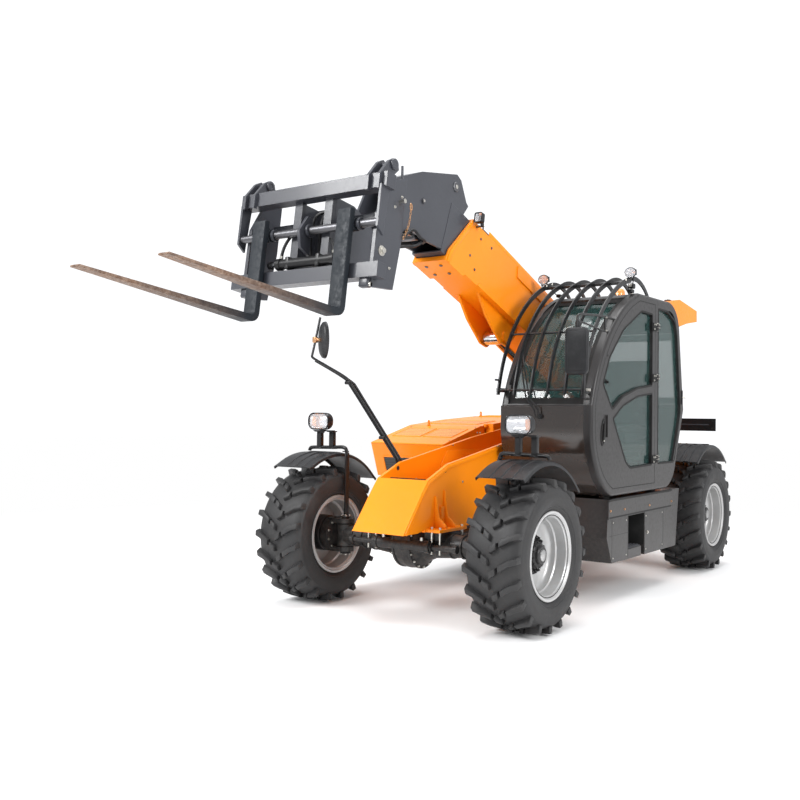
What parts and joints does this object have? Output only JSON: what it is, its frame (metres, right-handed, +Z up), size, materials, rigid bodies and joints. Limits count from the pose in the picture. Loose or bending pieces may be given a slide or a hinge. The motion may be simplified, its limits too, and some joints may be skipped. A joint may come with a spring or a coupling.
{
  "type": "telehandler",
  "caption": "Telescopic handler: side cab, offset boom with lift and tilt cylinders, fork carriage, four steered lugged wheels, engine pod opposite the cab",
  "frame": {"origin": "middle of the bounding box in plan, on the ground under the wheels", "axes": "+X to the machine's left, the cab side; -Y forward to the fork tips; +Z up"},
  "size_m": [2.154, 6.446, 3.1239],
  "materials": {
    "boom_orange": "gloss orange paint, lightly dusty",
    "machine_grey": "dark warm grey paint, satin",
    "black_gloss": "near black gloss paint",
    "black_paint": "black paint, satin",
    "axle_grey": "dull dark grey paint",
    "rim_silver": "silver paint, light dust",
    "tyre": "black rubber with dusty lugs",
    "cab_glass": "green tinted safety glass",
    "steel_pin": "turned steel",
    "bright_rod": "polished cylinder rod",
    "fork_steel": "forged steel, blue grey, worn brown on the blades",
    "black_plastic": "matt black moulding",
    "seat_fabric": "black woven seat cloth",
    "lamp_body": "black lamp housing with clear lens",
    "cast_engine": "plain block in place of the engine"
  },
  "bodies": {
    "chassis": {"chassis_frame": "boom_orange", "chassis_pins": "steel_pin", "front_axle": "axle_grey", "rear_axle": "axle_grey", "drive_shaft": "axle_grey", "cab_frame": "machine_grey", "cab_front_panel": "black_gloss", "cab_glass": "cab_glass", "cab_guard": "black_paint", "seat": "seat_fabric", "steering_console": "black_plastic", "wing_mirror": "black_plastic", "work_lamps": "lamp_body", "roof_visor": "boom_orange", "step_box": "machine_grey", "engine_block": "cast_engine", "engine_pod": "machine_grey", "counterweight": "boom_orange", "tail_plate": "black_paint", "fender_rl": "black_plastic", "fender_rr": "black_plastic", "round_mirror": "black_paint"},
    "door": {"door_frame": "machine_grey", "door_glass": "cab_glass"},
    "hood": {"engine_hood": "boom_orange"},
    "boom": {"boom_outer": "boom_orange"},
    "inner_boom": {"boom_inner": "machine_grey"},
    "rocker": {"tilt_rocker": "black_paint"},
    "tilt_cylinder": {"tilt_barrel": "black_paint"},
    "tilt_piston": {"tilt_rod": "bright_rod"},
    "lift_cylinder": {"lift_barrel": "black_paint"},
    "lift_piston": {"lift_rod": "bright_rod"},
    "carriage": {"carriage_frame": "machine_grey", "carriage_rods": "bright_rod", "forks": "fork_steel"},
    "steer_fl": {"knuckle_fl": "axle_grey", "fender_fl": "black_plastic", "headlamp_fl": "lamp_body"},
    "wheel_fl": {"tyre_fl": "tyre", "rim_fl": "rim_silver", "hub_fl": "black_paint"},
    "steer_fr": {"knuckle_fr": "axle_grey", "fender_fr": "black_plastic", "headlamp_fr": "lamp_body"},
    "wheel_fr": {"tyre_fr": "tyre", "rim_fr": "rim_silver", "hub_fr": "black_paint"},
    "steer_rl": {"knuckle_rl": "axle_grey"},
    "wheel_rl": {"tyre_rl": "tyre", "rim_rl": "rim_silver", "hub_rl": "black_paint"},
    "steer_rr": {"knuckle_rr": "axle_grey"},
    "wheel_rr": {"tyre_rr": "tyre", "rim_rr": "rim_silver", "hub_rr": "black_paint"}
  },
  "joints": [
    {"name": "boom_lift", "type": "hinge", "parent": "chassis", "child": "boom", "pos_m": [0, 2.528, 1.593], "axis": [-1, 0, 0], "range_deg": [-27, 45]},
    {"name": "boom_extend", "type": "slide", "parent": "boom", "child": "inner_boom", "axis": [0, -0.9367, 0.3502], "range_m": [0, 1.8]},
    {"name": "carriage_level", "type": "hinge", "parent": "inner_boom", "child": "rocker", "pos_m": [0, -1.372, 2.44], "axis": [-1, 0, 0], "range_deg": [-45, 27]},
    {"name": "carriage_tilt", "type": "hinge", "parent": "rocker", "child": "carriage", "pos_m": [0, -1.372, 2.44], "axis": [1, 0, 0], "range_deg": [-12, 98]},
    {"name": "tilt_cylinder_swing", "type": "hinge", "parent": "inner_boom", "child": "tilt_cylinder", "pos_m": [0, -0.372, 3.03], "axis": [-1, 0, 0], "range_deg": [-1.71, 1.03]},
    {"name": "tilt_rod_slide", "type": "slide", "parent": "tilt_cylinder", "child": "tilt_piston", "axis": [0, -0.9226, -0.3857], "range_m": [-0.07347, 0.12244]},
    {"name": "lift_cylinder_swing", "type": "hinge", "parent": "chassis", "child": "lift_cylinder", "pos_m": [0, 2.428, 1.14], "axis": [-1, 0, 0], "range_deg": [-25.08, 41.8]},
    {"name": "lift_rod_slide", "type": "slide", "parent": "lift_cylinder", "child": "lift_piston", "axis": [0, -0.9196, 0.3929], "range_m": [-0.21517, 0.35861]},
    {"name": "steering_fl", "type": "hinge", "parent": "chassis", "child": "steer_fl", "pos_m": [0.62, -0.672, 0.5], "axis": [0, 0, 1], "range_deg": [-35, 35]},
    {"name": "wheel_spin_fl", "type": "hinge", "parent": "steer_fl", "child": "wheel_fl", "pos_m": [0.874, -0.672, 0.5], "axis": [1, 0, 0], "continuous": true},
    {"name": "steering_fr", "type": "hinge", "parent": "chassis", "child": "steer_fr", "pos_m": [-0.62, -0.672, 0.5], "axis": [0, 0, 1], "range_deg": [-35, 35]},
    {"name": "wheel_spin_fr", "type": "hinge", "parent": "steer_fr", "child": "wheel_fr", "pos_m": [-0.874, -0.672, 0.5], "axis": [1, 0, 0], "continuous": true},
    {"name": "steering_rl", "type": "hinge", "parent": "chassis", "child": "steer_rl", "pos_m": [0.62, 2.623, 0.5], "axis": [0, 0, 1], "range_deg": [-35, 35]},
    {"name": "wheel_spin_rl", "type": "hinge", "parent": "steer_rl", "child": "wheel_rl", "pos_m": [0.874, 2.623, 0.5], "axis": [1, 0, 0], "continuous": true},
    {"name": "steering_rr", "type": "hinge", "parent": "chassis", "child": "steer_rr", "pos_m": [-0.62, 2.623, 0.5], "axis": [0, 0, 1], "range_deg": [-35, 35]},
    {"name": "wheel_spin_rr", "type": "hinge", "parent": "steer_rr", "child": "wheel_rr", "pos_m": [-0.874, 2.623, 0.5], "axis": [1, 0, 0], "continuous": true},
    {"name": "door_swing", "type": "hinge", "parent": "chassis", "child": "door", "pos_m": [1.014, 1.266, 1.5], "axis": [0, 0, 1], "range_deg": [0, 100]},
    {"name": "hood_lift", "type": "hinge", "parent": "chassis", "child": "hood", "pos_m": [-0.273, 1.161, 1.332], "axis": [0, 0.9972, 0.0753], "range_deg": [0, 50]}
  ],
  "couplings": [
    {"joint": "carriage_level", "follows": "boom_lift", "ratio": -1},
    {"joint": "tilt_cylinder_swing", "follows": "boom_lift", "ratio": -0.038},
    {"joint": "tilt_rod_slide", "follows": "boom_lift", "m_per_rad": 0.1559},
    {"joint": "lift_cylinder_swing", "follows": "boom_lift", "ratio": 0.929},
    {"joint": "lift_rod_slide", "follows": "boom_lift", "m_per_rad": 0.4566},
    {"joint": "steering_fr", "follows": "steering_fl", "ratio": 1},
    {"joint": "steering_rr", "follows": "steering_rl", "ratio": 1}
  ]
}
